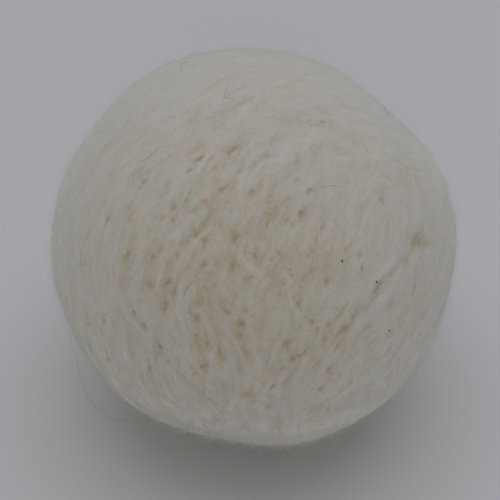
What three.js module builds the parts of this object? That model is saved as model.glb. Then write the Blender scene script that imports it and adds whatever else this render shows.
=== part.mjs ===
// Felt ball: one solid ball of matted off-white wool, rolled and needled by hand,
// so it is a little out of round. Millimetres, +Z up, origin at the centre of its box.

import * as THREE from "three";
import { mergeVertices } from "three/addons/utils/BufferGeometryUtils.js";

// Driving dimensions
const MEAN_RADIUS = 34.8; // mm, ball of about 70 mm
const FACET_DETAIL = 11; // icosahedron subdivision, facets of about 4 mm

// The ball is wider than it is high, with one long flat on its upper right and a
// slight one at its lower left. That is written as lobes around one leaning axis:
// [number of lobes, cosine height, sine height] in millimetres, on the girth that
// lies square to the axis. Each set of lobes fades out towards the axis's two ends.
const AXIS_ELEVATION = 45; // degrees above the horizon, leaning towards -Y
const LOBES = [
  [2, 0.363, 0.498],
  [3, 0.061, 0.146],
  [4, 0.108, -0.274],
  [5, 0.105, -0.216],
  [6, 0.017, -0.035],
  [7, -0.159, -0.113],
  [8, -0.054, -0.078],
];

// Off-white wool
const WOOL_COLOUR = 0xe3dfd4;
const WOOL_ROUGHNESS = 0.95;

const lean = THREE.MathUtils.degToRad(AXIS_ELEVATION);
const axis = new THREE.Vector3(0, -Math.cos(lean), Math.sin(lean));
const across = new THREE.Vector3(1, 0, 0);
const down = new THREE.Vector3().crossVectors(across, axis); // across the girth, pointing down
if (down.z > 0) down.negate();

// Distance from the ball's middle to its surface along the unit direction n.
function radiusAlong(n) {
  const u = n.dot(across);
  const v = n.dot(down);
  const reach = Math.hypot(u, v); // 1 on the girth, 0 at the axis's ends
  const turn = Math.atan2(v, u);
  let r = MEAN_RADIUS;
  for (const [k, c, s] of LOBES)
    r += Math.pow(reach, k) * (c * Math.cos(k * turn) + s * Math.sin(k * turn));
  return r;
}

function ballGeometry() {
  const sphere = new THREE.IcosahedronGeometry(1, FACET_DETAIL);
  sphere.deleteAttribute("normal");
  sphere.deleteAttribute("uv");
  const ball = mergeVertices(sphere, 1e-5);
  const place = ball.getAttribute("position");
  const n = new THREE.Vector3();
  for (let i = 0; i < place.count; i++) {
    n.fromBufferAttribute(place, i).normalize();
    n.multiplyScalar(radiusAlong(n));
    place.setXYZ(i, n.x, n.y, n.z);
  }
  ball.computeBoundingBox();
  const middle = ball.boundingBox.getCenter(new THREE.Vector3());
  ball.translate(-middle.x, -middle.y, -middle.z);
  ball.computeVertexNormals();
  return ball;
}

const part = new THREE.Group();

const feltBall = new THREE.Mesh(
  ballGeometry(),
  new THREE.MeshStandardMaterial({
    color: WOOL_COLOUR,
    roughness: WOOL_ROUGHNESS,
    metalness: 0,
  }),
);
feltBall.name = "felt_ball";
part.add(feltBall);

export default part;
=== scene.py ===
import math

import bpy
import numpy as np
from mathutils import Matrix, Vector
from mathutils.kdtree import KDTree


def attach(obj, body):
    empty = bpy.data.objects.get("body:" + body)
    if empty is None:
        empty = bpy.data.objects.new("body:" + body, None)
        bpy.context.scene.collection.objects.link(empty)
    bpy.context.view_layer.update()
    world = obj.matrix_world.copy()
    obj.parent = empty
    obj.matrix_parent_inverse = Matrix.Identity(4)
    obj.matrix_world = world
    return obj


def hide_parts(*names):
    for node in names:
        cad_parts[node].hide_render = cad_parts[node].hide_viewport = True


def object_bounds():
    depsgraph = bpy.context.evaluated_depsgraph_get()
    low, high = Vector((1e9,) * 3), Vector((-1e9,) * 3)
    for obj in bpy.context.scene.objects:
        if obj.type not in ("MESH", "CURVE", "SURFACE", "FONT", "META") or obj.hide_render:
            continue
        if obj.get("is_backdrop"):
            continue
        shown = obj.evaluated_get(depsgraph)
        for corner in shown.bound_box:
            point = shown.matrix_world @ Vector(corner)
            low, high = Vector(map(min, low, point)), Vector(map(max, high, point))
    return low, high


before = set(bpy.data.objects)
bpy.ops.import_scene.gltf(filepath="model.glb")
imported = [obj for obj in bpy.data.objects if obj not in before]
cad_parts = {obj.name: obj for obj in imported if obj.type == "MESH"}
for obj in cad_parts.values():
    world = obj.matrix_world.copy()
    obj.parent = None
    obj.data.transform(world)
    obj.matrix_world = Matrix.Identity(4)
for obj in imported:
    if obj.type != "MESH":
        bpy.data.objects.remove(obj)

cad_low, cad_high = (list(map(float, corner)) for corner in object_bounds())

# ---------------------------------------------------------------- dimensions
# Lengths are in millimetres until a mesh is made.
MM = 0.001
MEAN_RADIUS = 34.8
AXIS_ELEVATION = 45.0  # the ball's leaning axis, which is also the viewing direction
LOBES = [
    (2, 0.363, 0.498),
    (3, 0.061, 0.146),
    (4, 0.108, -0.274),
    (5, 0.105, -0.216),
    (6, 0.017, -0.035),
    (7, -0.159, -0.113),
    (8, -0.054, -0.078),
]
BODY_SINK = 0.36  # the matted body lies this far under the outer level of the loose fibres
GRID = 128  # quads along each edge of the body's six patches
# The picture is taken to be 500 by 500: focal length, side and the ball's radius in its pixels
FOCAL_PX, PICTURE, RADIUS_PX = 2975.0, 500.0, 200.8

LEAN = math.radians(AXIS_ELEVATION)
BACK = np.array([0.0, -math.cos(LEAN), math.sin(LEAN)])  # from the ball towards the viewer
RIGHT = np.array([1.0, 0.0, 0.0])
UP = np.cross(BACK, RIGHT)  # up in the picture


# ---------------------------------------------------------------- small helpers
def unit(v):
    return v / np.linalg.norm(v, axis=-1, keepdims=True)


def step(lo, hi, x):
    t = np.clip((x - lo) / (hi - lo), 0.0, 1.0)
    return t * t * (3.0 - 2.0 * t)


_DIRS = unit(np.random.default_rng(5).normal(size=(256, 3)))


def _hash(i, j, k, seed):
    h = (
        i.astype(np.uint32) * np.uint32(374761393)
        + j.astype(np.uint32) * np.uint32(668265263)
        + k.astype(np.uint32) * np.uint32(2246822519)
        + np.uint32(seed * 974711 + 17)
    )
    h ^= h >> np.uint32(13)
    h *= np.uint32(1274126177)
    h ^= h >> np.uint32(16)
    return (h & np.uint32(255)).astype(np.int64)


def grain(p, seed):
    """Smooth gradient noise of about unit spread at the points p, with a lattice of one unit."""
    cell = np.floor(p).astype(np.int64)
    f = p - cell
    w = f * f * f * (f * (f * 6.0 - 15.0) + 10.0)
    total = np.zeros(len(p))
    for a in (0, 1):
        wa = w[:, 0] if a else 1.0 - w[:, 0]
        for b in (0, 1):
            wb = w[:, 1] if b else 1.0 - w[:, 1]
            for c in (0, 1):
                wc = w[:, 2] if c else 1.0 - w[:, 2]
                g = _DIRS[_hash(cell[:, 0] + a, cell[:, 1] + b, cell[:, 2] + c, seed)]
                d = g[:, 0] * (f[:, 0] - a) + g[:, 1] * (f[:, 1] - b) + g[:, 2] * (f[:, 2] - c)
                total += wa * wb * wc * d
    return total * 3.4


# ---------------------------------------------------------------- the ball's form
def smooth_radius(n):
    """The felt's mean level along the unit directions n."""
    u, v = n @ RIGHT, -(n @ UP)
    reach, turn = np.hypot(u, v), np.arctan2(v, u)
    r = np.full(len(n), MEAN_RADIUS)
    for k, c, s in LOBES:
        r += reach**k * (c * np.cos(k * turn) + s * np.sin(k * turn))
    return r


def on_front(u, v):
    """Unit direction to the spot that is seen u to the right and v up on the face turned to the viewer, in radii."""
    n = BACK
    for _ in range(8):
        # what lies nearer the viewer looks larger, and so does what lies further out from the ball's middle
        r = float(smooth_radius(n[None])[0]) - BODY_SINK
        s = MEAN_RADIUS / r - float(n @ BACK) * RADIUS_PX / FOCAL_PX
        n = u * s * RIGHT + v * s * UP + math.sqrt(max(0.0, 1.0 - (u * u + v * v) * s * s)) * BACK
        n = n / np.linalg.norm(n)
    return n


def heading(n, degrees):
    """Unit tangent at n that runs at this angle on the face turned to the viewer."""
    a = math.radians(degrees)
    flat = math.cos(a) * RIGHT + math.sin(a) * UP
    # the tangent whose picture has that angle: move along BACK until it lies in the surface
    w = float(n @ BACK)
    t = flat - BACK * float(flat @ n) / (w if abs(w) > 0.25 else math.copysign(0.25, w or 1.0))
    t = t - n * float(t @ n)
    return t / np.linalg.norm(t)


# How the fibres are combed: place on the near face (right, up, in radii) and angle.
STROKES = [
    (-0.86, 0.29, 67), (-0.86, -0.01, 81), (-0.86, -0.31, 86),
    (-0.71, 0.58, 51), (-0.71, 0.29, 50), (-0.71, -0.16, 86), (-0.71, -0.50, -78),
    (-0.56, 0.73, 36), (-0.56, 0.43, 40), (-0.56, 0.13, 55), (-0.56, -0.31, -80), (-0.56, -0.60, -68),
    (-0.41, 0.43, 31), (-0.41, 0.13, 62), (-0.41, -0.45, -79), (-0.41, -0.75, -58),
    (-0.26, 0.73, 31), (-0.26, 0.43, 38), (-0.26, 0.14, 70), (-0.26, -0.60, -66),
    (-0.11, 0.90, 20), (-0.11, 0.43, 50), (-0.11, 0.20, 60), (-0.11, -0.60, -70),
    (0.03, 0.73, 30), (0.03, 0.30, 52), (0.03, -0.75, -78),
    (0.18, 0.73, 19), (0.18, 0.43, 62), (0.18, -0.60, 76),
    (0.33, 0.58, 48), (0.33, -0.45, 72), (0.33, -0.75, 82),
    (0.48, 0.73, -20), (0.48, 0.13, 71), (0.48, -0.31, 56), (0.48, -0.60, 42),
    (0.63, 0.58, -31), (0.63, 0.25, 76), (0.63, 0.00, 68), (0.63, -0.31, 54), (0.63, -0.50, 58),
    (0.78, 0.43, -42), (0.78, 0.10, 68), (0.78, -0.20, 72), (0.93, 0.00, 86),
    (-0.42, -0.87, -56), (-0.26, -0.80, -64), (-0.22, -0.93, -66), (-0.05, -0.95, -80), (0.12, -0.95, 84), (0.18, -0.84, 80), (0.29, -0.91, 76), (0.42, -0.86, 66),
]


def comb():
    places, ways = [], []
    for u, v, a in STROKES:
        n = on_front(u, v)
        t = heading(n, a)
        places += [n, -n]  # the far side is combed the same way
        ways += [t, t]
    # the girth between the two faces follows the girth
    for k in range(16):
        a = 2.0 * math.pi * k / 16
        n = math.cos(a) * RIGHT + math.sin(a) * UP
        places.append(n)
        # but on the underside it runs on from the near face to the far one
        ways.append(BACK if math.sin(a) < -0.8 else -math.sin(a) * RIGHT + math.cos(a) * UP)
    return np.array(places), np.array(ways)


COMB_PLACES, COMB_WAYS = comb()
COMB_TENSORS = np.einsum("gi,gj->gij", COMB_WAYS, COMB_WAYS).reshape(-1, 9)


def tangents(n):
    a = np.where(np.abs(n[:, 2:3]) < 0.8, [[0.0, 0.0, 1.0]], [[1.0, 0.0, 0.0]])
    e1 = unit(np.cross(a, n))
    return e1, np.cross(n, e1)


def rim(n):
    """1 along the upper rim of the near face, where the wool is evenly matted, falling to 0 away from it."""
    return np.exp(-(((n @ BACK - 0.22) / 0.30) ** 2)) * step(-0.30, 0.15, n @ UP)


def loosely(n):
    """How far the wool is matted rather than combed, 0 to 1: most in the middle of the near and far faces, and at the lower right."""
    u, v, w = n @ RIGHT, n @ UP, n @ BACK
    middle = np.exp(-(((u + 0.02) / 0.42) ** 2) - ((v + 0.10) / 0.32) ** 2) * step(0.3, 0.7, np.abs(w))
    lower_right = 0.8 * np.exp(-(((u - 0.66) / 0.24) ** 2) - ((v + 0.58) / 0.22) ** 2) * step(0.0, 0.2, w)
    return np.maximum(np.maximum(middle, lower_right), 0.75 * rim(n))


def flow(n, swirl=1.0):
    """Combing direction at the unit directions n, and how firmly it is combed, 0 to 1."""
    w = np.exp(26.0 * (n @ COMB_PLACES.T - 1.0))
    q = (w @ COMB_TENSORS).reshape(-1, 3, 3)
    e1, e2 = tangents(n)
    a = np.einsum("ni,nij,nj->n", e1, q, e1)
    b = np.einsum("ni,nij,nj->n", e1, q, e2)
    c = np.einsum("ni,nij,nj->n", e2, q, e2)
    size = np.hypot(a - c, 2.0 * b)
    firm = size / (a + c + 1e-12)
    turn = 0.5 * np.arctan2(2.0 * b, a - c)
    # loosely combed wool swirls
    loose = 1.0 - step(0.35, 0.95, firm)
    if swirl:
        turn = turn + swirl * ((0.20 + 0.9 * loose) * grain(n * (MEAN_RADIUS / 4.5), 11) + 0.25 * grain(n * (MEAN_RADIUS / 1.9), 12))
    return np.cos(turn)[:, None] * e1 + np.sin(turn)[:, None] * e2, firm


def streaks(n, cell, reach, seed, steps=7):
    """Noise of that cell size drawn out along the combing over +-reach, scaled to unit spread."""
    total = grain(n * (MEAN_RADIUS / cell), seed)
    weight = 1.0
    ds = reach / steps / MEAN_RADIUS
    for sign in (1.0, -1.0):
        p = n.copy()
        before = None
        for k in range(steps):
            d, _ = flow(p)
            if before is None:
                d = d * sign
            else:
                d = np.where(np.sum(d * before, 1, keepdims=True) < 0, -d, d)
            before = d
            p = unit(p + ds * d)
            w = 1.0 - (k + 1) / (steps + 1)
            total += w * grain(p * (MEAN_RADIUS / cell), seed)
            weight += w
    total /= weight
    return total / total.std()


# ---------------------------------------------------------------- the body's grid
FACES = [
    (np.array(a, float), np.array(b, float), np.array(c, float))
    for a, b, c in [
        ((0, 1, 0), (0, 0, 1), (1, 0, 0)),
        ((0, -1, 0), (0, 0, 1), (-1, 0, 0)),
        ((-1, 0, 0), (0, 0, 1), (0, 1, 0)),
        ((1, 0, 0), (0, 0, 1), (0, -1, 0)),
        ((1, 0, 0), (0, 1, 0), (0, 0, 1)),
        ((-1, 0, 0), (0, 1, 0), (0, 0, -1)),
    ]
]


def grid_directions():
    s = np.tan(np.linspace(-1.0, 1.0, GRID + 1) * math.pi / 4.0)
    ss, tt = np.meshgrid(s, s, indexing="ij")
    return np.concatenate(
        [unit((ss[..., None] * a + tt[..., None] * b + c).reshape(-1, 3)) for a, b, c in FACES]
    )


ALL_DIRS = grid_directions()
_key = np.round(ALL_DIRS * 1e5).astype(np.int64)
_, FIRST, SHARED = np.unique(_key, axis=0, return_index=True, return_inverse=True)
SHARED = SHARED.reshape(-1)
DIRS = ALL_DIRS[FIRST]  # one direction for each vertex of the body


def quads():
    side = GRID + 1
    i, j = np.meshgrid(np.arange(GRID), np.arange(GRID), indexing="ij")
    a = (i * side + j).reshape(-1)
    made = []
    for f in range(6):
        o = f * side * side
        made.append(np.stack([o + a, o + a + side, o + a + side + 1, o + a + 1], 1))
    return np.concatenate(made)


def look_up(field, n):
    """Values of a field on the body's vertices at any unit directions n."""
    side = GRID + 1
    dots = np.stack([n @ c for _, _, c in FACES], 1)
    f = np.argmax(dots, 1)
    a = np.stack([fa for fa, _, _ in FACES])[f]
    b = np.stack([fb for _, fb, _ in FACES])[f]
    c = dots[np.arange(len(n)), f]
    s = (np.arctan(np.sum(a * n, 1) / c) * 4.0 / math.pi + 1.0) * 0.5 * GRID
    t = (np.arctan(np.sum(b * n, 1) / c) * 4.0 / math.pi + 1.0) * 0.5 * GRID
    i = np.clip(np.floor(s).astype(int), 0, GRID - 1)
    j = np.clip(np.floor(t).astype(int), 0, GRID - 1)
    s, t = s - i, t - j
    base = f * side * side + i * side + j
    v = field[SHARED]
    return (
        v[base] * (1 - s) * (1 - t)
        + v[base + side] * s * (1 - t)
        + v[base + side + 1] * s * t
        + v[base + 1] * (1 - s) * t
    )


# ---------------------------------------------------------------- relief of the matted body
def along(points, count=60):
    """Unit directions spaced along a line of (right, up) places on the near face."""
    p = np.array([on_front(u, v) for u, v in points])
    t = np.linspace(0, len(p) - 1, count)
    i = np.minimum(t.astype(int), len(p) - 2)
    f = (t - i)[:, None]
    return unit(p[i] * (1 - f) + p[i + 1] * f), t / (len(p) - 1)


def nearest(n, line):
    """Distance in millimetres from the directions n to a line of directions, and where on it."""
    d2 = 2.0 - 2.0 * (n @ line.T)
    k = np.argmin(d2, 1)
    return np.sqrt(np.maximum(d2[np.arange(len(n)), k], 0.0)) * MEAN_RADIUS, k


def scattered(count, seed):
    """Directions spread evenly over the ball, with a little disorder."""
    rng = np.random.default_rng(seed)
    k = np.arange(count) + 0.5
    z = 1.0 - 2.0 * k / count
    a = k * math.pi * (3.0 - math.sqrt(5.0)) + rng.uniform(0, 2 * math.pi)
    r = np.sqrt(1.0 - z * z)
    n = np.stack([r * np.cos(a), r * np.sin(a), z], 1)
    n = unit(n + rng.normal(size=n.shape) * (1.6 / math.sqrt(count)))
    return n[rng.permutation(count)]


# A crease on the right of the near face, the wool drawn over on both its sides, and the dent it starts from
CREASE = [
    (0.811, -0.012), (0.751, -0.072), (0.691, -0.117), (0.651, -0.146), (0.622, -0.201), (0.597, -0.251),
    (0.557, -0.291), (0.512, -0.336), (0.467, -0.395), (0.437, -0.455), (0.402, -0.515), (0.382, -0.550),
]
DRAWN_OVER = [
    [(0.801, 0.018), (0.746, -0.017), (0.686, -0.062), (0.641, -0.112), (0.602, -0.161), (0.562, -0.216), (0.512, -0.266)],
    [(0.751, -0.131), (0.706, -0.186), (0.661, -0.226), (0.626, -0.281), (0.587, -0.341), (0.552, -0.400)],
]
PATCHES = [(-0.58, 0.10, 0.13, 0.15, 0.65), (0.42, 0.15, 0.28, 0.13, -0.28), (0.02, 0.30, 0.36, 0.10, -0.22), (0.52, -0.62, 0.26, 0.20, -0.28), (-0.25, -0.42, 0.25, 0.20, 0.18), (0.05, 0.56, 0.42, 0.20, 0.22), (0.60, 0.42, 0.12, 0.12, 0.35), (-0.74, 0.40, 0.16, 0.20, -0.30), (-0.12, 0.12, 0.12, 0.10, 0.15), (0.22, -0.31, 0.16, 0.10, 0.15), (0.11, 0.70, 0.10, 0.045, 0.35), (0.25, 0.775, 0.10, 0.035, 0.25)]  # right, up, half sizes, how much more open
SWELLS = [(-0.47, -0.87, 0.15, 0.30), (0.55, -0.82, 0.20, 0.30)]  # right, up, half size, height in mm
DENTS = [(0.822, 0.030, 0.044, 0.042, 1.0), (0.870, 0.018, 0.030, 0.030, 0.8), (0.775, 0.028, 0.030, 0.022, 0.4), (0.826, -0.010, 0.026, 0.034, 0.5)]  # right, up, half sizes, depth

# Needle pits that stand out on the near face: right, up, angle, half length and half width in mm, depth
PITS_SEEN = [
    (-0.09, 0.05, -88, 0.58, 0.46, 1.0), (-0.85, -0.07, 81, 0.95, 0.50, 1.0), (-0.28, 0.07, -51, 0.66, 0.57, 1.0), (-0.22, -0.76, -50, 0.66, 0.53, 1.0),
    (-0.31, -0.52, -85, 0.45, 0.29, 1.0), (0.22, 0.44, 70, 0.71, 0.34, 1.0), (-0.44, 0.44, 41, 0.73, 0.26, 1.0), (0.36, -0.17, 61, 0.64, 0.37, 1.0),
    (-0.27, 0.44, 39, 0.69, 0.28, 0.9), (-0.25, 0.03, -82, 0.71, 0.47, 0.9), (0.20, 0.11, 40, 0.66, 0.29, 0.9), (-0.40, 0.15, 79, 0.72, 0.44, 0.9),
    (-0.30, -0.61, -63, 0.70, 0.33, 0.9), (-0.10, 0.49, 40, 0.72, 0.36, 0.9), (0.16, -0.59, 55, 0.66, 0.47, 0.9), (-0.74, -0.35, 83, 0.74, 0.31, 0.9),
    (-0.43, -0.56, -69, 0.72, 0.43, 0.9), (-0.07, -0.44, 59, 0.53, 0.42, 0.9), (0.54, -0.11, -86, 0.72, 0.36, 0.9), (-0.56, 0.31, 48, 0.80, 0.34, 0.8),
    (0.53, 0.20, 53, 0.71, 0.53, 0.8), (-0.14, -0.31, -58, 0.67, 0.22, 0.8), (-0.38, -0.04, -86, 0.55, 0.24, 0.8), (0.22, -0.27, -81, 0.71, 0.42, 0.8),
    (0.29, -0.38, -78, 0.57, 0.40, 0.8), (-0.28, -0.35, -69, 0.56, 0.44, 0.8), (0.37, -0.40, 79, 0.60, 0.35, 0.8), (0.24, 0.17, 78, 0.66, 0.35, 0.8),
    (-0.66, -0.34, -80, 0.74, 0.31, 0.8), (-0.23, -0.21, -46, 0.40, 0.29, 0.7), (0.02, -0.65, -89, 0.62, 0.43, 0.7), (-0.33, 0.38, 28, 0.65, 0.43, 0.7),
    (-0.37, -0.63, -58, 0.65, 0.35, 0.7), (-0.06, -0.38, -81, 0.65, 0.39, 0.7), (-0.51, -0.05, 51, 0.61, 0.48, 0.7), (-0.40, 0.20, 89, 0.74, 0.52, 0.7),
    (-0.03, -0.73, 63, 0.69, 0.43, 0.7), (-0.29, 0.19, 31, 0.65, 0.45, 0.7), (-0.25, -0.10, -71, 0.69, 0.56, 0.7), (-0.04, -0.31, -72, 0.51, 0.35, 0.7),
    (0.10, -0.69, 61, 0.81, 0.33, 0.7), (0.19, -0.13, -60, 0.71, 0.39, 0.7), (-0.02, 0.28, 21, 0.68, 0.48, 0.7), (-0.45, -0.30, -82, 0.69, 0.41, 0.7),
    (-0.43, -0.17, 22, 0.72, 0.53, 0.7), (-0.15, 0.29, 41, 0.72, 0.42, 0.7), (0.53, -0.04, -88, 0.69, 0.48, 0.7), (0.10, -0.31, 2, 0.62, 0.57, 0.6),
    (-0.33, 0.04, 43, 0.86, 0.36, 0.6), (-0.06, 0.39, 58, 0.62, 0.25, 0.6), (-0.47, -0.50, -78, 0.76, 0.39, 0.6), (0.24, -0.53, 36, 0.61, 0.47, 0.6),
    (0.83, -0.32, -64, 0.68, 0.42, 0.6), (-0.12, -0.69, 67, 0.62, 0.56, 0.6), (-0.46, -0.69, -79, 0.66, 0.50, 0.6), (-0.75, -0.41, -86, 0.78, 0.37, 0.6),
    (0.62, -0.02, 78, 0.71, 0.37, 0.6), (-0.44, -0.64, 85, 0.79, 0.42, 0.6), (0.01, -0.04, -31, 0.64, 0.43, 0.6), (-0.23, -0.46, -81, 0.78, 0.39, 0.6),
    (0.46, 0.00, -85, 0.51, 0.34, 0.6), (0.07, -0.79, -72, 0.70, 0.45, 0.6), (0.13, -0.25, 79, 0.76, 0.39, 0.6), (0.28, 0.29, 21, 0.70, 0.54, 0.6),
    (0.48, -0.68, 69, 0.69, 0.34, 0.6), (0.64, 0.24, -64, 0.62, 0.49, 0.6), (-0.11, -0.10, -75, 0.65, 0.44, 0.6), (-0.19, 0.39, 52, 0.59, 0.48, 0.6),
    (0.76, 0.38, 41, 0.66, 0.43, 0.6), (0.17, -0.48, 50, 0.77, 0.55, 0.6), (-0.16, -0.54, -60, 0.72, 0.48, 0.6), (0.58, 0.40, -64, 0.65, 0.55, 0.5),
    (-0.60, -0.32, -72, 0.63, 0.37, 0.5), (-0.72, 0.15, 58, 0.68, 0.27, 0.3), (-0.04, -0.16, 28, 0.70, 0.47, 0.5), (-0.17, 0.50, -20, 0.71, 0.50, 0.5),
    (-0.25, -0.59, 41, 0.59, 0.39, 0.5), (0.12, 0.54, 53, 0.68, 0.48, 0.5), (0.20, -0.55, 49, 0.87, 0.54, 0.5), (0.36, -0.07, 60, 0.75, 0.60, 0.5),
    (0.42, -0.32, -49, 0.70, 0.32, 0.5), (0.33, -0.71, 71, 0.64, 0.47, 0.5), (0.07, 0.46, 9, 0.64, 0.36, 0.5), (0.36, -0.03, -69, 0.85, 0.81, 0.5),
    (0.10, 0.19, 86, 0.59, 0.42, 0.5), (-0.09, 0.35, 52, 0.86, 0.25, 0.5), (-0.28, -0.28, 8, 0.67, 0.44, 0.5), (-0.51, -0.19, -10, 0.57, 0.55, 0.5),
    (0.05, 0.05, -9, 0.75, 0.56, 0.5), (-0.64, -0.06, 58, 0.73, 0.44, 0.5), (-0.40, -0.21, -82, 0.86, 0.45, 0.5), (0.36, -0.45, 72, 0.86, 0.38, 0.5),
    (0.19, -0.84, -79, 0.56, 0.33, 0.5), (0.56, -0.41, 57, 0.70, 0.37, 0.5), (0.76, -0.34, -16, 0.69, 0.43, 0.5), (-0.82, -0.37, -80, 0.66, 0.24, 0.5),
    (-0.52, -0.595, -72, 1.25, 0.36, 0.45), (-0.723, -0.55, -84, 1.0, 0.22, 0.45), (-0.54, -0.40, -60, 0.6, 0.5, 0.4),
    (0.465, -0.40, 60, 1.2, 0.45, 0.9), (0.615, -0.205, 50, 0.9, 0.40, 0.6), (0.38, -0.62, 80, 0.8, 0.50, 0.4), (0.45, -0.79, 70, 0.7, 0.40, 0.4),
    (0.58, -0.73, 60, 0.5, 0.40, 0.35), (0.49, -0.62, 60, 0.7, 0.30, 0.35),
]
# Pale strands that stand out on the near face
STRANDS_SEEN = [
    [(-0.30, -0.80), (-0.315, -0.755), (-0.355, -0.67), (-0.39, -0.585), (-0.42, -0.51), (-0.445, -0.43), (-0.44, -0.37)],
    [(0.27, -0.52), (0.23, -0.62), (0.19, -0.72), (0.17, -0.83), (0.11, -0.93)],
    [(-0.79, -0.30), (-0.82, -0.21), (-0.82, -0.11), (-0.80, -0.00), (-0.79, 0.09), (-0.80, 0.19)],
    [(-0.15, -0.46), (-0.12, -0.50), (-0.12, -0.56), (-0.09, -0.62), (-0.08, -0.68), (-0.08, -0.75)],
    [(-0.72, -0.25), (-0.71, -0.17), (-0.71, -0.08), (-0.68, 0.01), (-0.67, 0.10), (-0.65, 0.20)],
    [(0.06, -0.66), (0.07, -0.60), (0.10, -0.55), (0.11, -0.49), (0.15, -0.45), (0.18, -0.39)],
    [(-0.33, -0.49), (-0.33, -0.54), (-0.29, -0.58), (-0.26, -0.63), (-0.21, -0.65)],
    [(0.30, -0.88), (0.31, -0.79), (0.30, -0.70), (0.34, -0.61), (0.42, -0.55)],
    [(-0.50, -0.40), (-0.52, -0.45), (-0.51, -0.51), (-0.49, -0.57), (-0.48, -0.62), (-0.44, -0.67)],
    [(-0.73, -0.28), (-0.72, -0.35), (-0.70, -0.41), (-0.70, -0.47), (-0.69, -0.53)],
    [(-0.27, -0.32), (-0.23, -0.37), (-0.21, -0.45), (-0.19, -0.52)],
    [(-0.50, -0.23), (-0.47, -0.16), (-0.45, -0.10), (-0.46, -0.04)],
    [(-0.34, -0.57), (-0.32, -0.64), (-0.30, -0.71), (-0.27, -0.78), (-0.21, -0.81), (-0.14, -0.84)],
    [(0.17, -0.14), (0.18, -0.20), (0.18, -0.27), (0.21, -0.32), (0.25, -0.38), (0.29, -0.41)],
    [(0.51, -0.18), (0.49, -0.09), (0.51, -0.00), (0.58, 0.05), (0.59, 0.12), (0.59, 0.21)],
    [(-0.21, -0.53), (-0.18, -0.59), (-0.18, -0.65), (-0.16, -0.72), (-0.15, -0.78), (-0.11, -0.81)],
    [(-0.49, 0.64), (-0.39, 0.67), (-0.30, 0.72), (-0.23, 0.77)],
    [(0.01, 0.63), (0.08, 0.66), (0.15, 0.71), (0.23, 0.73), (0.30, 0.76), (0.38, 0.77)],
    [(-0.65, -0.49), (-0.63, -0.54), (-0.62, -0.60), (-0.60, -0.66), (-0.57, -0.71), (-0.53, -0.77)],
    [(-0.65, -0.28), (-0.63, -0.35), (-0.60, -0.375), (-0.565, -0.425), (-0.53, -0.50)],
    [(-0.31, 0.15), (-0.35, 0.10), (-0.40, 0.06), (-0.44, 0.02)],
    [(-0.07, 0.25), (-0.06, 0.31), (-0.04, 0.37), (-0.03, 0.43)],
    [(-0.67, 0.40), (-0.62, 0.44), (-0.56, 0.49), (-0.49, 0.50), (-0.43, 0.52), (-0.36, 0.54)],
    [(-0.35, 0.35), (-0.29, 0.37), (-0.25, 0.42), (-0.22, 0.48)],
    [(-0.54, -0.58), (-0.54, -0.65), (-0.52, -0.71), (-0.46, -0.75)],
    [(-0.56, 0.16), (-0.52, 0.20), (-0.47, 0.23), (-0.42, 0.26), (-0.37, 0.29)],
    [(0.50, 0.08), (0.49, 0.13), (0.47, 0.19), (0.49, 0.23), (0.51, 0.29)],
    [(-0.36, -0.69), (-0.33, -0.74), (-0.31, -0.81), (-0.31, -0.88)],
    [(-0.06, -0.04), (-0.03, -0.09), (0.02, -0.12), (0.05, -0.17)],
    [(-0.64, -0.03), (-0.63, 0.03), (-0.62, 0.09), (-0.56, 0.14)],
    [(-0.02, 0.34), (0.01, 0.37), (0.03, 0.41), (0.08, 0.43)],
    [(-0.34, -0.04), (-0.30, 0.00), (-0.26, 0.06), (-0.22, 0.09)],
    [(-0.51, -0.03), (-0.54, -0.09), (-0.58, -0.17), (-0.57, -0.25)],
    [(-0.35, -0.14), (-0.36, -0.21), (-0.36, -0.27), (-0.39, -0.34)],
    [(0.83, 0.25), (0.82, 0.19), (0.80, 0.13), (0.78, 0.07)],
    [(0.67, -0.09), (0.67, -0.03), (0.70, 0.02), (0.73, 0.07), (0.75, 0.12)],
    [(-0.469, -0.550), (-0.459, -0.610), (-0.444, -0.679), (-0.414, -0.749)],
    [(-0.140, -0.585), (-0.121, -0.659), (-0.111, -0.734), (-0.101, -0.769)],
    [(0.039, -0.570), (0.019, -0.649), (0.009, -0.719)],
    [(-0.230, -0.684), (-0.195, -0.734), (-0.160, -0.774), (-0.155, -0.819)],
    [(-0.051, -0.774), (-0.001, -0.819), (0.019, -0.874)],
    [(0.124, -0.719), (0.119, -0.784), (0.109, -0.844)],
]


def openness(n):
    """Where the wool is openly matted, pitted and tan, 1, and where loose fibre is brushed over it, 0."""
    u, v, w = n @ RIGHT, n @ UP, n @ BACK
    away = np.hypot((u + 0.09) / 0.80, (v + 0.24) / 0.90)
    near = (1.0 - step(0.25, 1.25, away)) * step(0.0, 0.3, w)
    brushed = np.exp(-(((u - 0.78) / 0.22) ** 2) - ((v + 0.02) / 0.5) ** 2) * step(0.0, 0.3, w)
    crown = step(0.45, 0.80, v) * step(-0.2, 0.3, w)
    patchy = 0.29 + 0.16 * grain(n * (MEAN_RADIUS / 15.0), 41) + 0.10 * grain(n * (MEAN_RADIUS / 4.0), 42)
    girth = np.exp(-((w - 0.1) / 0.32) ** 2)
    left = np.exp(-(((u + 0.88) / 0.22) ** 2) - ((v - 0.15) / 0.45) ** 2)
    for cu, cv, du, dv, more in PATCHES:
        near = near + more * np.exp(-(((u - cu) / du) ** 2) - ((v - cv) / dv) ** 2) * step(0.0, 0.3, w)
    return np.clip(patchy * (1.0 - 0.6 * near) + 0.60 * near - 0.15 * brushed - 0.20 * crown - 0.18 * girth - 0.2 * left, 0.0, 1.0)


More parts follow.
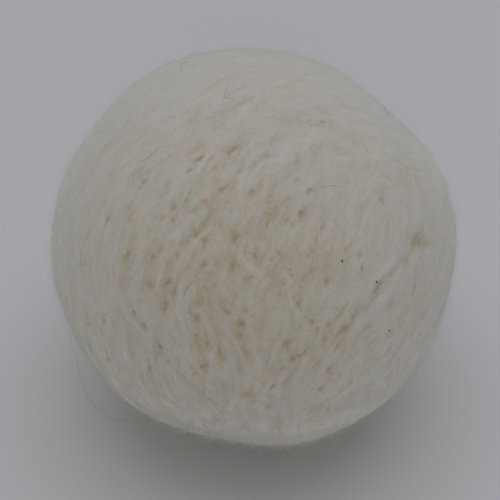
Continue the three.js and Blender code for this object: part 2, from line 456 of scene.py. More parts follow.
def spotted(n, open_, count, seed, wide_, stretch, deep_, seen=()):
    """Depth, 0 to about 1, of soft spots strewn over the open wool and drawn out along the combing.
    The ones that are seen come first, and few others are strewn over that face."""
    rng = np.random.default_rng(seed)
    spots = scattered(count, seed + 1)
    spots = spots[rng.uniform(size=count) < 0.06 + 0.94 * look_up(open_, spots)]
    way, _ = flow(spots)
    across = np.cross(spots, way)
    wide = rng.uniform(*wide_, len(spots))
    long = wide * rng.uniform(*stretch, len(spots))
    deep = rng.uniform(*deep_, len(spots)) * (0.4 + 0.6 * step(0.1, 0.6, look_up(open_, spots)))
    if len(seen):
        deep = deep * (1.0 - 0.4 * step(0.25, 0.45, spots @ BACK))
        face = [on_front(u, v) for u, v, *_ in seen]
        ways = np.array([heading(f, row[2]) for f, row in zip(face, seen)])
        spots, way = np.concatenate([spots, face]), np.concatenate([way, ways])
        across = np.cross(spots, way)
        # towards the rim they are deeper and more drawn out
        out = [float(step(0.25, 0.55, math.hypot(row[0], row[1] + 0.05))) for row in seen]
        long = np.concatenate([long, [(1.35 + 0.45 * f) * row[3] for f, row in zip(out, seen)]])
        wide = np.concatenate([wide, [(1.50 - 0.30 * f + float(step(-0.55, -0.80, row[0]))) * row[4] for f, row in zip(out, seen)]])
        side = [0.55 * float(step(-0.35, -0.55, row[0])) - 0.46 * float(step(0.25, 0.45, row[0])) + 0.45 * float(step(-0.35, -0.55, row[1])) - 0.22 * float(step(0.30, 0.50, row[1])) for row in seen]
        deep = np.concatenate([deep, [min(0.92, (1.0 + 0.4 * f) * (1.0 + g) * row[5]) for f, g, row in zip(out, side, seen)]])
    total = np.zeros(len(n))
    for k in range(len(spots)):
        cos = n @ spots[k]
        i = np.nonzero(cos > math.cos(2.6 * long[k] / MEAN_RADIUS))[0]
        if len(i) == 0:
            continue
        q = (n[i] - spots[k]) * MEAN_RADIUS
        x, y = q @ way[k], q @ across[k]
        total[i] = np.maximum(total[i], deep[k] * np.exp(-((x / long[k]) ** 2) - (y / wide[k]) ** 2))
    return total


def walk(n, long, points, turn_at, swirl=1.0):
    """Paths of directions that leave n along the combing, turned by turn_at(distance, firmness)."""
    ds = (long / (points - 1))[:, None] / MEAN_RADIUS
    where, before, p = [n], None, n
    for k in range(points - 1):
        d, firm = flow(p, swirl)
        d = d if before is None else np.where(np.sum(d * before, 1, keepdims=True) < 0, -d, d)
        before = d
        turn = turn_at(long * (k + 0.5) / (points - 1), firm)
        p = unit(p + ds * (np.cos(turn)[:, None] * d + np.sin(turn)[:, None] * np.cross(p, d)))
        where.append(p)
    return np.stack(where, 1)


def strand_lines(count, seed, length, points=12):
    """Pale strands that cross over the open wool, mostly on the lower part of the ball."""
    rng = np.random.default_rng(seed)
    n = scattered(count, seed + 1)
    low = step(0.05, -0.45, n @ UP) * (0.35 + 0.65 * step(-0.2, 0.2, n @ BACK))
    chance = (0.3 + 0.7 * openness(n)) * (0.05 + 0.95 * low) * (1.0 - 0.8 * loosely(n))
    n = n[rng.uniform(size=count) < chance * (1.0 - 0.85 * step(0.2, 0.4, n @ BACK))]
    count = len(n)
    tilt = rng.normal(size=count) * 0.12 + rng.choice([-0.24, 0.24], count)
    bend = rng.normal(size=count) * 0.03
    phase, sway = rng.uniform(0, 2 * math.pi, count), rng.uniform(0.05, 0.25, count)
    strewn = walk(n, rng.uniform(*length, count), points, lambda s, firm: tilt + bend * s + sway * np.sin(s * 0.9 + phase), 0.5)
    return np.concatenate([strewn, [along(line, points)[0] for line in STRANDS_SEEN]])


def near_lines(n, lines, reach):
    """1 on the lines, falling to 0 over about reach millimetres."""
    between = unit(0.5 * (lines[:, 1:] + lines[:, :-1]))
    dots = np.concatenate([lines.reshape(-1, 3), between.reshape(-1, 3)])
    tree = KDTree(len(dots))
    for i, d in enumerate(dots):
        tree.insert(d, i)
    tree.balance()
    away = np.array([tree.find(d)[2] for d in n]) * MEAN_RADIUS
    return np.exp(-((away / reach) ** 2))


def relief(n):
    """(height of the matted body over its smooth form, the same without pits, depth of pits 0 to 1,
    how thickly the fibres lie, how open the wool is, and a colour value: the wool's own tan, with painted shade that
    darkens the pits, the crease and the dents)."""
    fine = streaks(n, 0.75, 2.4, 21)
    broad = streaks(n, 1.5, 3.6, 22)
    bands = streaks(n, 2.4, 3.2, 23) * (1.0 - 0.6 * rim(n)) * (0.65 + 0.35 * step(0.10, 0.40, n @ UP)) * (1.0 - 0.25 * step(0.8, 0.95, n @ BACK))
    lumps = grain(n * (MEAN_RADIUS / 11.0), 31) * 0.11 + grain(n * (MEAN_RADIUS / 5.0), 32) * 0.03
    thick = (0.7 * fine + 0.5 * broad) * (1.0 - 0.6 * rim(n))
    open_ = openness(n)
    strands = near_lines(n, STRAND_LINES, 0.28)
    pits = spotted(n, open_, 2100, 61, (0.24, 0.46), (1.2, 2.6), (0.3, 1.0), PITS_SEEN) * (1.0 - 0.6 * strands)
    pits = pits * np.clip(0.82 + 0.62 * grain(n * (MEAN_RADIUS / 0.9), 63), 0.15, 1.25)  # ragged, with wisps across them
    blots = spotted(n, open_, 900, 65, (0.6, 1.2), (1.2, 2.4), (0.3, 1.0)) * (1.0 - 0.5 * strands)

    line, t = along(CREASE)
    d, k = nearest(n, line)
    fade = step(0.0, 0.10, t[k]) * (1.0 - step(0.80, 1.0, t[k]))
    groove = np.exp(-((d / (1.0 + 0.3 * grain(n * (MEAN_RADIUS / 3.0), 52))) ** 2)) * fade
    groove = groove * np.clip(0.72 + 0.4 * grain(n * (MEAN_RADIUS / 2.4), 51), 0.0, 1.0)
    drawn = np.zeros(len(n))
    for points, wide in zip(DRAWN_OVER, (0.9, 1.3)):
        line, t = along(points)
        d, k = nearest(n, line)
        drawn = np.maximum(drawn, np.exp(-((d / wide) ** 2)) * step(0.0, 0.15, t[k]) * (1.0 - step(0.75, 1.0, t[k])))
    drawn = drawn * (1.0 - groove)
    dent = np.zeros(len(n))
    for cu, cv, du, dv, deep in DENTS:
        q = n - on_front(cu, cv)
        dent = np.maximum(dent, deep * np.exp(-((q @ RIGHT / du) ** 2) - (q @ UP / dv) ** 2) * (n @ BACK > 0))

    pits, blots = pits * (1.0 - 0.8 * drawn), blots * (1.0 - 0.9 * drawn) * (1.0 - 0.3 * step(0.6, 0.9, n @ BACK))
    for cu, cv, size, high in SWELLS:
        q = n - unit(cu * RIGHT + cv * UP)
        lumps = lumps + high * np.exp(-np.sum(q * q, 1) / size**2)
    level = 0.008 * fine + 0.014 * broad + lumps + 0.03 * strands - 0.16 * groove + 0.10 * drawn - 0.30 * dent
    # colour value: the wool's own tan in the open parts and blots, plus painted shade that darkens and warms the
    # pits, the crease and the dents
    tan = 0.10 + 0.46 * open_ - (0.16 - 0.13 * open_) * thick - 0.095 * bands + 0.22 * blots + (0.90 - 0.45 * open_) * pits
    tan = tan * (1.0 - 0.6 * drawn) - 0.26 * strands + 0.46 * groove + 0.66 * dent
    pits = np.clip(np.maximum(pits, np.maximum(0.75 * groove, 0.8 * dent)), 0.0, 1.0)
    return level - 0.14 * pits, level, pits, thick + 0.32 * bands - 0.8 * blots + 1.2 * drawn, open_, np.clip(tan, 0.0, 1.0)


STRAND_LINES = strand_lines(1500, 71, (5.0, 12.0))
CORE = smooth_radius(DIRS)
_box = DIRS * CORE[:, None]
SHIFT = -(_box.min(0) + _box.max(0)) / 2.0  # the box's centre is the origin
FLOOR = cad_low[2] / MM

# the last value is the body's colour value: the wool's own tan with painted shade in the pits, the crease and the
# dents
HEIGHT, LEVEL, PITS, THICK, OPEN, TAN_AND_PIT_SHADE = relief(DIRS)
BODY_R = CORE - BODY_SINK + HEIGHT
LEVEL_R = CORE - BODY_SINK + LEVEL * 0.8


# ---------------------------------------------------------------- meshes
def mesh_object(name, verts_mm, faces, uv, points=None, normals=None):
    mesh = bpy.data.meshes.new(name)
    mesh.from_pydata(np.asarray(verts_mm) * MM, [], faces)
    mesh.uv_layers.new(name="OFBake").data.foreach_set("uv", np.ascontiguousarray(uv, np.float32).ravel())
    for key, values in (points or {}).items():
        mesh.attributes.new(key, "FLOAT", "POINT").data.foreach_set("value", np.ascontiguousarray(values, np.float32))
    mesh.shade_smooth()
    mesh.validate()
    if normals is not None:
        mesh.normals_split_custom_set(normals)
    obj = bpy.data.objects.new(name, mesh)
    bpy.context.scene.collection.objects.link(obj)
    return obj


def body_object():
    q = quads()
    side = GRID + 1
    local = q % (side * side)
    patch = q // (side * side)
    s, t = (local // side) / GRID, (local % side) / GRID
    uv = np.stack([(patch % 3 + 0.02 + 0.96 * s) / 3.0, (patch // 3 + 0.02 + 0.96 * t) / 2.0], -1)
    verts = DIRS * BODY_R[:, None] + SHIFT
    verts[:, 2] = np.maximum(verts[:, 2], FLOOR + 0.02)
    # the tan attribute holds the wool's own tan and painted shade in the pits, the crease and the dents
    return mesh_object("felt_body", verts, SHARED[q], uv.reshape(-1, 2), {"tan": TAN_AND_PIT_SHADE})


def tube_mesh(paths, radii, flat, airy):
    """Closed three-sided tubes along paths (fibres, points, 3), tapering to a point at both ends.
    flat 0 is a round fibre, and 1 is a fibre that lies pressed against the ball as a low ridge.
    airy above 0 is a fibre that stands off the ball, so it gathers light from above."""
    count, points, _ = paths.shape
    rings = points - 2
    tang = np.empty_like(paths)
    tang[:, 1:-1] = paths[:, 2:] - paths[:, :-2]
    tang[:, 0], tang[:, -1] = paths[:, 1] - paths[:, 0], paths[:, -1] - paths[:, -2]
    tang = unit(tang + 1e-9)
    ref = unit(paths + 1e-6)
    u = unit(np.cross(ref, tang) + 1e-9)
    v = np.cross(tang, u)
    ang = np.arange(3) * 2.0 * math.pi / 3.0 + math.pi / 2.0  # an edge out, a side in
    wide, high = np.cos(ang) * (1.0 + 0.4 * flat), np.sin(ang) * (1.0 - 0.65 * flat)
    ring = (
        paths[:, 1:-1, None, :]
        + radii[:, 1:-1, None, None] * (wide[:, None] * u[:, 1:-1, None, :] + high[:, None] * v[:, 1:-1, None, :])
    )
    verts = np.concatenate([paths[:, :1], ring.reshape(count, rings * 3, 3), paths[:, -1:]], 1)
    # wool is translucent, so a fibre's outer sides are lit much as the surface it lies on
    each = [1] + [3] * rings + [1]
    out = unit(verts)
    round_ = unit(verts - np.repeat(paths, each, 1) + 0.002 * out)
    above = airy * step(-0.5, 0.3, out[..., 2:]) * np.array([0.0, 0.0, 1.0])
    outer = unit(out + above + (0.6 - 0.35 * flat) * round_)
    inner = unit(1.2 * above - np.repeat(v, each, 1))  # light comes through a free fibre
    per = rings * 3 + 2
    tri, spot, under = [], [], []
    row = lambda i, j: 1 + i * 3 + j % 3
    place = lambda i, j: ((i + 1) / (rings + 1), j / 3.0)
    for j in range(3):
        tri.append((0, row(0, j + 1), row(0, j)))
        spot.append(((0.0, (j + 0.5) / 3.0), place(0, j + 1), place(0, j)))
        for i in range(rings - 1):
            tri.append((row(i, j), row(i, j + 1), row(i + 1, j + 1)))
            spot.append((place(i, j), place(i, j + 1), place(i + 1, j + 1)))
            tri.append((row(i, j), row(i + 1, j + 1), row(i + 1, j)))
            spot.append((place(i, j), place(i + 1, j + 1), place(i + 1, j)))
        tri.append((per - 1, row(rings - 1, j), row(rings - 1, j + 1)))
        spot.append(((1.0, (j + 0.5) / 3.0), place(rings - 1, j), place(rings - 1, j + 1)))
        under += [j == 1] * (len(tri) - len(under))
    tri, spot, under = np.array(tri), np.array(spot), np.array(under)
    normals = np.where(under[None, :, None, None], inner[:, tri], outer[:, tri])
    faces = (np.arange(count)[:, None, None] * per + tri[None]).reshape(-1, 3)
    cells = math.ceil(math.sqrt(count))
    corner = np.stack([np.arange(count) % cells, np.arange(count) // cells], -1)
    uv = (corner[:, None, None, :] + 0.14 + 0.72 * spot[None]) / cells
    return verts.reshape(-1, 3), faces, uv.reshape(-1, 2), per, normals.reshape(-1, 3)


def fibres(count, seed, points, length, spread, crimp, lift, radius, bridge, clumped, loose_ends=0.0, limit=0, wave=(2.2, 4.5), where_=None):
    """Paths, radii and tones of fibres that lie along the combing.
    lift is the height of a fibre's middle over the body: least and mean. bridge 0 follows pits down, 1 spans them.
    clumped 1 gathers them where wool lies thick and keeps them off the pits, 0 spreads them evenly. loose_ends is the share with a free end."""
    rng = np.random.default_rng(seed)
    n = scattered(count, seed + 1)
    chance = 0.86 + (0.42 - 0.3 * look_up(OPEN, n)) * look_up(THICK, n) - 0.42 * look_up(OPEN, n)
    if where_ is not None:
        n = n[rng.uniform(size=count) < where_(n)]
    else:
        n = n[rng.uniform(size=count) < np.clip(clumped * chance + 1.0 - clumped, 0.04, 1.0)]
    count = len(n)
    long = rng.uniform(*length, count) * (1.0 - 0.5 * loosely(n))
    tilt = rng.normal(size=count) * (spread + 0.75 * loosely(n))
    phase = rng.uniform(0, 2 * math.pi, count)
    period = rng.uniform(*wave, count)
    bend = rng.normal(size=count) * 0.10
    sway = crimp * rng.uniform(0.4, 1.3, count)
    where = walk(n, long, points, lambda s, firm: tilt * (1.7 - 0.7 * firm) + sway * np.sin(2 * math.pi * s / period + phase) + bend * s)
    # few fibres cross a deep pit
    deepest = np.zeros(count)
    for f in (0.0, 0.25, 0.5, 0.75):
        between = unit(where[:, :-1] * (1 - f) + where[:, 1:] * f)
        deepest = np.maximum(deepest, look_up(PITS, between.reshape(-1, 3)).reshape(count, -1).max(1))
    where = where[rng.uniform(size=count) > clumped * 1.6 * deepest - 0.1]
    if limit:
        where = where[:limit]
    count = len(where)
    flat = where.reshape(-1, 3)
    ground = look_up(BODY_R, flat).reshape(count, points)
    span = look_up(LEVEL_R, flat).reshape(count, points)
    ground = np.maximum(ground, (1 - bridge) * ground + bridge * span)
    t = np.linspace(0, 1, points)[None]
    top = np.minimum(lift[0] + rng.exponential(max(lift[1] - lift[0], 1e-4), count), lift[0] + 4.0 * (lift[1] - lift[0]))[:, None]
    arch = np.sin(math.pi * t) ** 0.7
    free = t ** rng.uniform(0.7, 1.4, count)[:, None] * 1.25
    shape = np.where(rng.uniform(size=count)[:, None] < loose_ends, free, arch)
    paths = where * (ground - 0.09 * (1 - np.minimum(shape, 1.0)) + top * shape)[..., None]
    rad = rng.uniform(*radius, count)[:, None] * np.clip(np.sin(math.pi * np.clip(t * 0.86 + 0.07, 0, 1)), 0.3, 1.0)
    tone = np.clip(rng.normal(0.5, 0.22, count), 0, 1)
    return paths, rad, tone


def bundles(lines, each, seed, wide, radius, tone, points=7):
    """Fibres that run along lines of directions, several to a line, strewn over about wide millimetres."""
    rng = np.random.default_rng(seed)
    count = len(lines) * each
    line = np.repeat(lines, each, 0)
    m = line.shape[1] - 1
    start, end = rng.uniform(0.0, 0.35, count), rng.uniform(0.65, 1.0, count)
    t = np.linspace(0, 1, points)[None]
    at = (start[:, None] + (end - start)[:, None] * t) * m
    i = np.minimum(at.astype(int), m - 1)
    f = (at - i)[..., None]
    row = np.arange(count)[:, None]
    p = unit(line[row, i] * (1 - f) + line[row, i + 1] * f)
    side = np.cross(p, unit(line[row, i + 1] - line[row, i]))
    drift = rng.normal(size=count)[:, None] + 0.6 * np.sin(t * rng.uniform(2, 6, count)[:, None] + rng.uniform(0, 6.3, count)[:, None])
    p = unit(p + side * (wide * drift / MEAN_RADIUS)[..., None])
    flat = p.reshape(-1, 3)
    ground = np.maximum(look_up(BODY_R, flat), 0.2 * look_up(BODY_R, flat) + 0.8 * look_up(LEVEL_R, flat)).reshape(count, points)
    arch = np.sin(math.pi * t) ** 0.5
    paths = p * (ground - 0.08 * (1 - arch) + arch * rng.uniform(0.0, 0.10, count)[:, None])[..., None]
    rad = rng.uniform(*radius, count)[:, None] * np.clip(np.sin(math.pi * np.clip(t * 0.86 + 0.07, 0, 1)), 0.3, 1.0)
    return paths, rad, np.clip(rng.normal(tone, 0.15, count), 0, 1)


def joined(*made):
    return tuple(np.concatenate(parts) for parts in zip(*made))


def fibre_object(name, made, flat, airy):
    paths, radii, tone = made
    v, f, uv, per, normals = tube_mesh(paths, radii, flat, airy)
    v = v + SHIFT
    v[:, 2] = np.maximum(v[:, 2], FLOOR + 0.01)
    return mesh_object(name, v, f, uv, {"tone": np.repeat(tone, per)}, normals)


# Coloured hairs caught in the wool: places (right, up) on the near face in radii, radius in mm, tone
HAIRS = [
    ([(-0.394, 0.506), (-0.449, 0.501), (-0.484, 0.481), (-0.529, 0.436), (-0.564, 0.426), (-0.579, 0.396), (-0.614, 0.352), (-0.624, 0.307)], 0.042, 0.7),
    ([(-0.125, 0.815), (-0.135, 0.775), (-0.145, 0.745), (-0.121, 0.740), (-0.086, 0.735)], 0.030, 0.1),
    ([(-0.360, 0.909), (-0.340, 0.914), (-0.315, 0.924)], 0.026, 0.1),
    ([(-0.350, 0.919), (-0.355, 0.899), (-0.355, 0.875)], 0.026, 0.1),
    ([(0.636, 0.735), (0.651, 0.695), (0.666, 0.650)], 0.026, 0.1),
    ([(0.128, -0.893), (0.133, -0.918), (0.133, -0.943)], 0.045, 0.7),
    ([(0.806, -0.171), (0.801, -0.211), (0.786, -0.251)], 0.036, 0.5),
    ([(0.308, 0.108), (0.313, 0.053), (0.313, 0.008), (0.298, -0.042), (0.278, -0.136)], 0.045, 0.7),
    ([(0.343, 0.297), (0.387, 0.307), (0.427, 0.302), (0.472, 0.287)], 0.020, 0.4),
    ([(-0.350, -0.261), (-0.335, -0.211), (-0.305, -0.176), (-0.260, -0.156)], 0.026, 0.1),
    ([(0.138, -0.470), (0.173, -0.450), (0.213, -0.450), (0.243, -0.465)], 0.016, 0.1),
]
# One long hair stands off the lower left of the ball in a loop, both its ends in the wool
LOOSE_HAIR = [
    (-0.905, -0.385), (-0.922, -0.425), (-0.897, -0.490), (-0.877, -0.570), (-0.858, -0.649), (-0.828, -0.739), (-0.793, -0.784),
    (-0.763, -0.809), (-0.728, -0.814), (-0.728, -0.834), (-0.698, -0.854), (-0.633, -0.864), (-0.569, -0.874), (-0.499, -0.864), (-0.455, -0.840),
]
CHAFF = [(0.440, -0.067, 0.20), (0.612, -0.171, 0.19), (0.676, -0.413, 0.17)]  # right, up, half length in mm
KNOT = (-0.235, 0.237)  # a pinch of orange fibre


def smooth_line(points, count):
    """A smooth line of that many points through the given ones."""
    p = np.asarray(points, float)
    ext = np.concatenate([2 * p[:1] - p[1:2], p, 2 * p[-1:] - p[-2:-1]])
    at = np.linspace(0, len(p) - 1, count)
    i = np.minimum(at.astype(int), len(p) - 2)
    f = (at - i)[:, None]
    a, b, c, d = ext[i], ext[i + 1], ext[i + 2], ext[i + 3]
    return 0.5 * (2 * b + (c - a) * f + (2 * a - 5 * b + 4 * c - d) * f**2 + (3 * b - a - 3 * c + d) * f**3)


def stray_hairs(points=18):
    rng = np.random.default_rng(800)
    paths, radii, tones = [], [], []
    t = np.linspace(0, 1, points)
    taper = np.clip(np.sin(math.pi * np.clip(t * 0.9 + 0.05, 0, 1)) ** 0.5, 0.3, 1.0)

    def lay(n, radius, tone, lift):
        ground = look_up(LEVEL_R, n) + 0.05
        paths.append(n * (ground + lift * np.sin(math.pi * t) ** 0.5 - 0.10 * (1 - np.sin(math.pi * t) ** 0.3))[:, None])
        radii.append(radius * taper)
        tones.append(tone)

    for places, radius, tone in HAIRS:
        lay(unit(smooth_line([on_front(u, v) for u, v in places], points)), radius, tone, 0.10)
    # the same few hairs are strewn over the rest of the ball
    starts = scattered(40, 801)
    starts = starts[starts @ BACK < 0.15][:14]
    for n in starts:
        tilt, bend = rng.normal() * 0.8, rng.normal() * 0.25
        run = walk(n[None], np.array([rng.uniform(2.0, 9.0)]), points, lambda s, firm: tilt + bend * s, 0.5)[0]
        lay(run, rng.uniform(0.022, 0.036), rng.choice([0.1, 0.4, 0.7]), 0.10)
    # thin pink ones
    for n in scattered(70, 803):
        tilt, bend = rng.normal() * 0.6, rng.normal() * 0.2
        run = walk(n[None], np.array([rng.uniform(1.5, 5.0)]), points, lambda s, firm: tilt + bend * s, 0.5)[0]
        lay(run, rng.uniform(0.010, 0.020), 0.72, 0.05)
    # the knot
    centre = on_front(*KNOT)
    for k in range(16):
        n = unit(centre + rng.normal(size=3) * (0.25 / MEAN_RADIUS))
        tilt, bend = rng.normal() * 0.9, rng.normal() * 0.6
        run = walk(n[None], np.array([rng.uniform(0.6, 1.3)]), points, lambda s, firm: tilt + bend * s, 0.5)[0]
        lay(run, 0.030, 0.95, 0.03)
    loop = smooth_line(LOOSE_HAIR, points) * MEAN_RADIUS
    paths.append(loop[:, :1] * RIGHT + loop[:, 1:] * UP)
    radii.append(0.030 * taper)
    tones.append(0.55)
    return np.array(paths), np.array(radii), np.array(tones)


def chaff_object():
    """Small dark bits of chaff held in the wool."""
    rng = np.random.default_rng(810)
    s = np.tan(np.linspace(-1.0, 1.0, 5) * math.pi / 4.0)
    ss, tt = np.meshgrid(s, s, indexing="ij")
    n = np.concatenate([unit((ss[..., None] * a + tt[..., None] * b + c).reshape(-1, 3)) for a, b, c in FACES])
    _, first, shared = np.unique(np.round(n * 1e5).astype(np.int64), axis=0, return_index=True, return_inverse=True)
    shared, n = shared.reshape(-1), n[first]
    i, j = np.meshgrid(np.arange(4), np.arange(4), indexing="ij")
    a = (i * 5 + j).reshape(-1)
    faces = np.concatenate([shared[f * 25 + np.stack([a, a + 5, a + 6, a + 1], 1)] for f in range(6)])
    spots = [(on_front(u, v), size) for u, v, size in CHAFF]
    more = scattered(30, 811)
    spots += [(m, rng.uniform(0.12, 0.2)) for m in more[more @ BACK < 0.1][:6]]
    verts, quads_, uv, cells = [], [], [], math.ceil(math.sqrt(len(spots)))
    for k, (spot, size) in enumerate(spots):
        way = flow(spot[None])[0][0]
        side = np.cross(spot, way)
        turn = rng.uniform(0, math.pi)
        way, side = math.cos(turn) * way + math.sin(turn) * side, math.cos(turn) * side - math.sin(turn) * way
        lumpy = 1.0 + 0.16 * grain(n * 1.3 + 7.0 * k, 820)
        body_ = n * lumpy[:, None] * size * np.array([1.0, rng.uniform(0.6, 0.85), 0.6])
        at = spot * float(look_up(LEVEL_R, spot[None])[0] + 0.10)
        quads_.append(faces + len(n) * k)
        verts.append(at + body_[:, :1] * way + body_[:, 1:2] * side + body_[:, 2:] * spot)
        flat = 0.5 + 0.4 * n[:, :2] * np.array([1.0, 1.0])
        uv.append((flat[faces].reshape(-1, 2) + [k % cells, k // cells]) / cells)
    return mesh_object("chaff_bits", np.concatenate(verts) + SHIFT, np.concatenate(quads_), np.concatenate(uv))


# ---------------------------------------------------------------- materials
def ramp(nodes, stops):
    node = nodes.new("ShaderNodeValToRGB")
    e = node.color_ramp.elements
    while len(e) < len(stops):
        e.new(0.5)
    for item, (pos, colour) in zip(e, stops):
        item.position = pos
        item.color = (*colour, 1.0)
    return node


def wool(name, attribute, stops, drift, fleck_drift, bump, gloss, sheen, soft, depth):
    """Matte wool: colour from a value on the mesh, drifting in broad patches and in fine flecks.
    Light passes through it over about depth metres."""
    mat = bpy.data.materials.new(name)
    mat.use_nodes = True
    nodes, links = mat.node_tree.nodes, mat.node_tree.links
    nodes.clear()
    out = nodes.new("ShaderNodeOutputMaterial")
    shader = nodes.new("ShaderNodeBsdfPrincipled")
    links.new(shader.outputs[0], out.inputs["Surface"])
    value = nodes.new("ShaderNodeAttribute")
    value.attribute_name = attribute
    colour = ramp(nodes, stops)
    coords = nodes.new("ShaderNodeTexCoord")
    patch = nodes.new("ShaderNodeTexNoise")
    patch.inputs["Scale"].default_value = 70.0
    patch.inputs["Detail"].default_value = 3.0
    fleck = nodes.new("ShaderNodeTexNoise")
    fleck.inputs["Scale"].default_value = 900.0
    fleck.inputs["Detail"].default_value = 4.0
    links.new(coords.outputs["Object"], patch.inputs["Vector"])
    links.new(coords.outputs["Object"], fleck.inputs["Vector"])
    # value + drift * (patch - 0.5) + fleck_drift * (fleck - 0.5)
    a = nodes.new("ShaderNodeMath"); a.operation = "MULTIPLY_ADD"
    a.inputs[1].default_value = drift
    links.new(patch.outputs["Fac"], a.inputs[0])
    links.new(value.outputs["Fac"], a.inputs[2])
    b = nodes.new("ShaderNodeMath"); b.operation = "MULTIPLY_ADD"
    b.inputs[1].default_value = fleck_drift
    links.new(fleck.outputs["Fac"], b.inputs[0])
    links.new(a.outputs[0], b.inputs[2])
    c = nodes.new("ShaderNodeMath"); c.operation = "SUBTRACT"
    c.inputs[1].default_value = 0.5 * (drift + fleck_drift)
    links.new(b.outputs[0], c.inputs[0])
    links.new(c.outputs[0], colour.inputs["Fac"])
    # fine grit lightens and darkens it, and a faint blush comes and goes
    grit = nodes.new("ShaderNodeTexNoise")
    grit.inputs["Scale"].default_value = 2600.0
    grit.inputs["Detail"].default_value = 2.0
    links.new(coords.outputs["Object"], grit.inputs["Vector"])
    d = nodes.new("ShaderNodeMath"); d.operation = "MULTIPLY_ADD"
    d.inputs[1].default_value = 0.22
    d.inputs[2].default_value = 1.0 - 0.11
    links.new(grit.outputs["Fac"], d.inputs[0])
    flush = nodes.new("ShaderNodeTexNoise")
    flush.inputs["Scale"].default_value = 330.0
    flush.inputs["Detail"].default_value = 3.0
    links.new(coords.outputs["Object"], flush.inputs["Vector"])
    tint = ramp(nodes, [(0.3, (0.980, 1.0, 0.985)), (0.7, (1.0, 0.978, 0.985))])
    links.new(flush.outputs["Fac"], tint.inputs["Fac"])
    tinted = nodes.new("ShaderNodeVectorMath"); tinted.operation = "MULTIPLY"
    links.new(colour.outputs["Color"], tinted.inputs[0])
    links.new(tint.outputs["Color"], tinted.inputs[1])
    gritty = nodes.new("ShaderNodeVectorMath"); gritty.operation = "SCALE"
    links.new(tinted.outputs["Vector"], gritty.inputs[0])
    links.new(d.outputs[0], gritty.inputs["Scale"])
    links.new(gritty.outputs["Vector"], shader.inputs["Base Color"])
    shader.inputs["Roughness"].default_value = 0.92
    shader.inputs["Specular IOR Level"].default_value = gloss
    shader.inputs["Subsurface Weight"].default_value = soft
    shader.inputs["Subsurface Radius"].default_value = (1.0, 0.9, 0.72)
    shader.inputs["Subsurface Scale"].default_value = depth
    shader.inputs["Sheen Weight"].default_value = sheen
    shader.inputs["Sheen Roughness"].default_value = 0.5
    if bump:
        relief_node = nodes.new("ShaderNodeBump")
        relief_node.inputs["Strength"].default_value = bump
        relief_node.inputs["Distance"].default_value = 0.0002
        links.new(fleck.outputs["Fac"], relief_node.inputs["Height"])
        links.new(relief_node.outputs["Normal"], shader.inputs["Normal"])
    return mat


# the dark, warm end of this ramp colours the pits, the crease and the dents: painted shade over the wool's own tan
BODY_WOOL = wool(
    "matted_wool", "tan",
    [(0.0, (0.778, 0.760, 0.730)), (0.35, (0.749, 0.706, 0.639)), (0.65, (0.672, 0.602, 0.494)), (1.0, (0.562, 0.461, 0.306))],
    0.22, 0.6, 0.15, 0.05, 0.45, 1.0, 0.0022,
)
COAT_WOOL = wool(
    "coat_wool", "tone",
    [(0.0, (0.59, 0.547, 0.50)), (0.2, (0.707, 0.689, 0.662)), (0.45, (0.752, 0.740, 0.722)), (0.75, (0.779, 0.770, 0.755)), (1.0, (0.801, 0.794, 0.782))],
    0.8, 1.2, 0.0, 0.0, 0.58, 0.0, 0.0003,
)
FUZZ_WOOL = wool(
    "fuzz_wool", "tone",
    [(0.0, (0.758, 0.755, 0.745)), (0.5, (0.784, 0.783, 0.776)), (1.0, (0.808, 0.808, 0.803))],
    0.4, 0.4, 0.0, 0.0, 0.7, 0.0, 0.0003,
)
HAIR = wool(
    "stray_hair", "tone",
    [(0.1, (0.22, 0.22, 0.225)), (0.4, (0.27, 0.165, 0.125)), (0.7, (0.64, 0.34, 0.295)), (1.0, (0.80, 0.46, 0.29))],
    0.06, 0.06, 0.0, 0.3, 0.0, 0.0, 0.0003,
)
CHAFF_DARK = wool(
    "chaff", "tone",
    [(0.0, (0.045, 0.04, 0.035)), (1.0, (0.10, 0.085, 0.07))],
    0.5, 0.8, 0.2, 0.3, 0.0, 0.0, 0.0003,
)

# ---------------------------------------------------------------- pieces
body = body_object()
body.data.materials.append(BODY_WOOL)
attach(body, "root")
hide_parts("felt_ball")

low_front = lambda n: 0.02 + 0.98 * step(0.82, 0.95, -(n @ UP)) * step(-0.45, -0.1, n @ BACK)
drawn_over = [np.array([along(points, 12)[0]]) for points in DRAWN_OVER]
strands = joined(
    bundles(STRAND_LINES[: -len(STRANDS_SEEN)], 6, 500, 0.16, (0.016, 0.026), 0.95),
    bundles(STRAND_LINES[-len(STRANDS_SEEN) :], 11, 505, 0.32, (0.018, 0.028), 0.95),
    bundles(drawn_over[0], 80, 510, 0.42, (0.018, 0.030), 0.9),
    bundles(drawn_over[1], 110, 520, 0.62, (0.018, 0.030), 0.9),
)
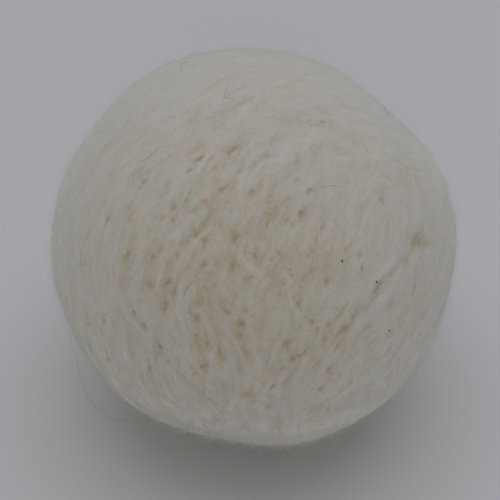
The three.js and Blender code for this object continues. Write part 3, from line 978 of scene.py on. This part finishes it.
# a few dull fibres among the pale ones, most of them on the right
right_side = lambda n: 0.15 + 0.85 * np.exp(-(((n @ RIGHT - 0.80) / 0.30) ** 2) - ((n @ UP + 0.2) / 0.5) ** 2)
dull = fibres(7500, 700, 7, (2.0, 5.0), 0.45, 0.5, (0.0, 0.03), (0.014, 0.024), 0.6, 0.0, 0.0, 0, (2.2, 4.5), right_side)
strands = joined(strands, (dull[0], dull[1], dull[2] * 0.2))
coats = [
    ("felt_coat_a", COAT_WOOL, 1.0, 0.0, fibres(21000, 100, 5, (3.5, 7.0), 0.22, 0.28, (0.0, 0.015), (0.018, 0.030), 0.3, 1.0, 0.0, 11000)),
    ("felt_coat_b", COAT_WOOL, 0.8, 0.2, fibres(18000, 200, 5, (3.5, 7.0), 0.36, 0.34, (0.0, 0.04), (0.018, 0.030), 0.6, 1.0, 0.0, 9000)),
    ("felt_strands", COAT_WOOL, 1.0, 0.2, strands),
    ("felt_fuzz", FUZZ_WOOL, 0.0, 0.9, fibres(15000, 300, 4, (2.8, 5.5), 0.55, 0.45, (0.05, 0.42), (0.010, 0.015), 0.8, 0.0, 0.5)),
    ("felt_nap", FUZZ_WOOL, 0.0, 0.9, fibres(12000, 400, 3, (1.2, 2.6), 1.2, 0.4, (0.10, 0.50), (0.009, 0.013), 0.8, 0.0, 0.8)),
    ("felt_loops", FUZZ_WOOL, 0.0, 0.9, fibres(22000, 600, 8, (1.6, 3.2), 1.2, 1.5, (0.15, 0.65), (0.014, 0.024), 0.8, 0.0, 0.5, 0, (0.9, 1.7), low_front)),
    ("stray_hairs", HAIR, 0.0, 0.0, stray_hairs()),
]
for name, material, flat, airy, made in coats:
    piece = fibre_object(name, made, flat, airy)
    piece.data.materials.append(material)
    piece.visible_shadow = False  # fine wool lets the light through
    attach(piece, "root")
chaff = chaff_object()
chaff.data.materials.append(CHAFF_DARK)
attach(chaff, "root")

# ---------------------------------------------------------------- floor, light, camera
def plain_material(name, colour, rough):
    mat = bpy.data.materials.new(name)
    mat.use_nodes = True
    shader = mat.node_tree.nodes["Principled BSDF"]
    shader.inputs["Base Color"].default_value = (*colour, 1.0)
    shader.inputs["Roughness"].default_value = rough
    shader.inputs["Specular IOR Level"].default_value = 0.1
    return mat


floor_mesh = bpy.data.meshes.new("floor")
h = 6.0
floor_mesh.from_pydata([(-h, -h, 0), (h, -h, 0), (h, h, 0), (-h, h, 0)], [], [(0, 1, 2, 3)])
floor = bpy.data.objects.new("floor", floor_mesh)
bpy.context.scene.collection.objects.link(floor)
floor.location.z = FLOOR * MM
floor_mesh.materials.append(plain_material("pale_floor", (0.810, 0.822, 0.878), 0.9))
floor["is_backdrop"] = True

world = bpy.data.worlds.new("studio")
bpy.context.scene.world = world
world.use_nodes = True
back = world.node_tree.nodes["Background"]
back.inputs["Color"].default_value = (1.0, 0.962, 0.815, 1.0)
back.inputs["Strength"].default_value = 0.234


def area_light(name, place, size, watts, colour=(1.0, 1.0, 1.0)):
    data = bpy.data.lights.new(name, "AREA")
    data.shape = "DISK"
    data.size = size
    data.energy = watts
    data.color = colour
    obj = bpy.data.objects.new(name, data)
    bpy.context.scene.collection.objects.link(obj)
    obj.location = place
    obj.rotation_mode = "QUATERNION"
    obj.rotation_quaternion = (-Vector(place)).to_track_quat("-Z", "Y")
    return obj


area_light("overhead", (0.04, 0.2, 1.3), 1.6, 5.35, (0.94, 0.985, 1.10))
area_light("front", (0.0, -2.0, 0.45), 2.0, 4.0, (1.0, 0.985, 0.955))

# The ball's middle lies a little right of and above the picture's centre.
distance = MEAN_RADIUS * FOCAL_PX / RADIUS_PX
px = distance / FOCAL_PX
aim = SHIFT - RIGHT * (3.2 * px) - UP * (2.4 * px)
camera_data = bpy.data.cameras.new("camera")
camera_data.sensor_width = 36.0
camera_data.lens = 36.0 * FOCAL_PX / PICTURE
camera_data.clip_start, camera_data.clip_end = 0.01, 50.0
camera = bpy.data.objects.new("camera", camera_data)
bpy.context.scene.collection.objects.link(camera)
camera.location = Vector((aim + BACK * distance) * MM)
camera.rotation_mode = "QUATERNION"
camera.rotation_quaternion = Vector(-BACK).to_track_quat("-Z", "Y")
bpy.context.scene.camera = camera
bpy.context.scene.view_settings.view_transform = "Standard"
